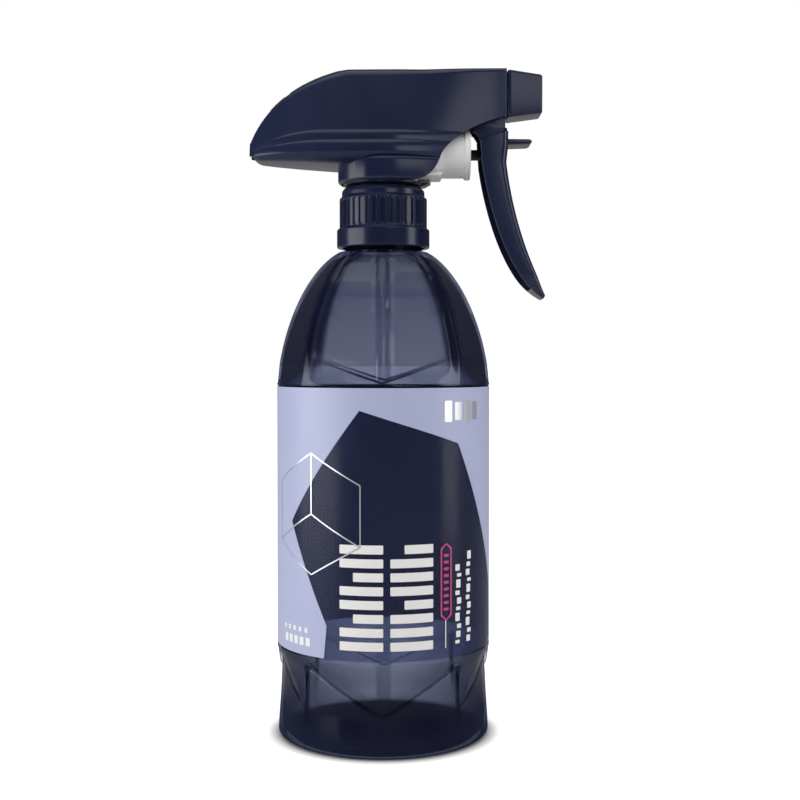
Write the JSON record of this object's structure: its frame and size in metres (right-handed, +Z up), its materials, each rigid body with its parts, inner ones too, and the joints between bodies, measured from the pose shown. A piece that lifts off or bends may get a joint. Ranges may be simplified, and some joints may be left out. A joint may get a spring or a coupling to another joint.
{
  "type": "trigger spray bottle",
  "caption": "Faceted half-litre bottle with a film label, ribbed screw collar and hooded trigger sprayer with a square nozzle.",
  "frame": {"origin": "on the table, under the middle of the whole sprayer's box; the bottle's axis stands at x = -4.65 mm", "axes": "+Z up along the bottle's axis, +X the way the nozzle points, -Y the label's front"},
  "size_m": [0.097, 0.0704, 0.2186],
  "materials": {
    "bottle_pet": "clear dark blue PET, glossy",
    "label_film": "lavender printed film, satin",
    "navy_plastic": "navy polypropylene, semi-gloss",
    "black_plastic": "black plastic",
    "white_plastic": "white polypropylene",
    "pump_plastic": "natural white polypropylene",
    "natural_plastic": "natural polyethylene",
    "seal_rubber": "elastomer",
    "spring_steel": "spring wire",
    "steel_ball": "polished ball"
  },
  "bodies": {
    "bottle": {"bottle": "bottle_pet", "label": "label_film"},
    "seal": {"neck_gasket": "seal_rubber"},
    "collar": {"collar": "navy_plastic"},
    "head": {"neck_plug": "black_plastic", "retaining_ring": "black_plastic", "tube_socket": "white_plastic", "dip_tube": "natural_plastic", "pump_body": "white_plastic", "pump_cylinder": "pump_plastic", "nozzle_base": "white_plastic", "nozzle_seal": "seal_rubber", "shroud": "navy_plastic", "return_spring": "spring_steel", "outlet_spring": "spring_steel"},
    "inlet_valve": {"inlet_ball": "steel_ball"},
    "plunger": {"piston": "black_plastic", "piston_seal": "seal_rubber"},
    "outlet_poppet": {"outlet_valve": "natural_plastic"},
    "nozzle": {"nozzle_cap": "navy_plastic"},
    "lever": {"trigger": "navy_plastic"}
  },
  "joints": [
    {"name": "closure_rise", "type": "slide", "parent": "bottle", "child": "seal", "axis": [0, 0, 1], "range_m": [0, 0.00634]},
    {"name": "collar_turn", "type": "hinge", "parent": "seal", "child": "collar", "pos_m": [-0.00465, 0, 0.17], "axis": [0, 0, 1], "range_deg": [0, 540]},
    {"name": "head_swivel", "type": "hinge", "parent": "seal", "child": "head", "pos_m": [-0.00465, 0, 0.182], "axis": [0, 0, 1], "continuous": true},
    {"name": "trigger_squeeze", "type": "hinge", "parent": "head", "child": "lever", "pos_m": [0.03335, 0, 0.204], "axis": [0, 1, 0], "range_deg": [0, 20]},
    {"name": "piston_stroke", "type": "slide", "parent": "head", "child": "plunger", "axis": [-1, 0, 0], "range_m": [0, 0.00505], "stiffness_N_per_m": 900, "springref_m": -0.002, "deforming": ["return_spring"]},
    {"name": "inlet_lift", "type": "slide", "parent": "head", "child": "inlet_valve", "axis": [0, 0, 1], "range_m": [0, 0.001]},
    {"name": "outlet_lift", "type": "slide", "parent": "head", "child": "outlet_poppet", "axis": [1, 0, 0], "range_m": [0, 0.001], "stiffness_N_per_m": 150, "springref_m": -0.002, "deforming": ["outlet_spring"]},
    {"name": "nozzle_turn", "type": "hinge", "parent": "head", "child": "nozzle", "pos_m": [0.03595, 0, 0.2105], "axis": [1, 0, 0], "continuous": true}
  ],
  "couplings": [
    {"joint": "collar_turn", "follows": "closure_rise", "rad_per_m": 1485.4},
    {"joint": "trigger_squeeze", "follows": "piston_stroke", "rad_per_m": 69.1}
  ]
}
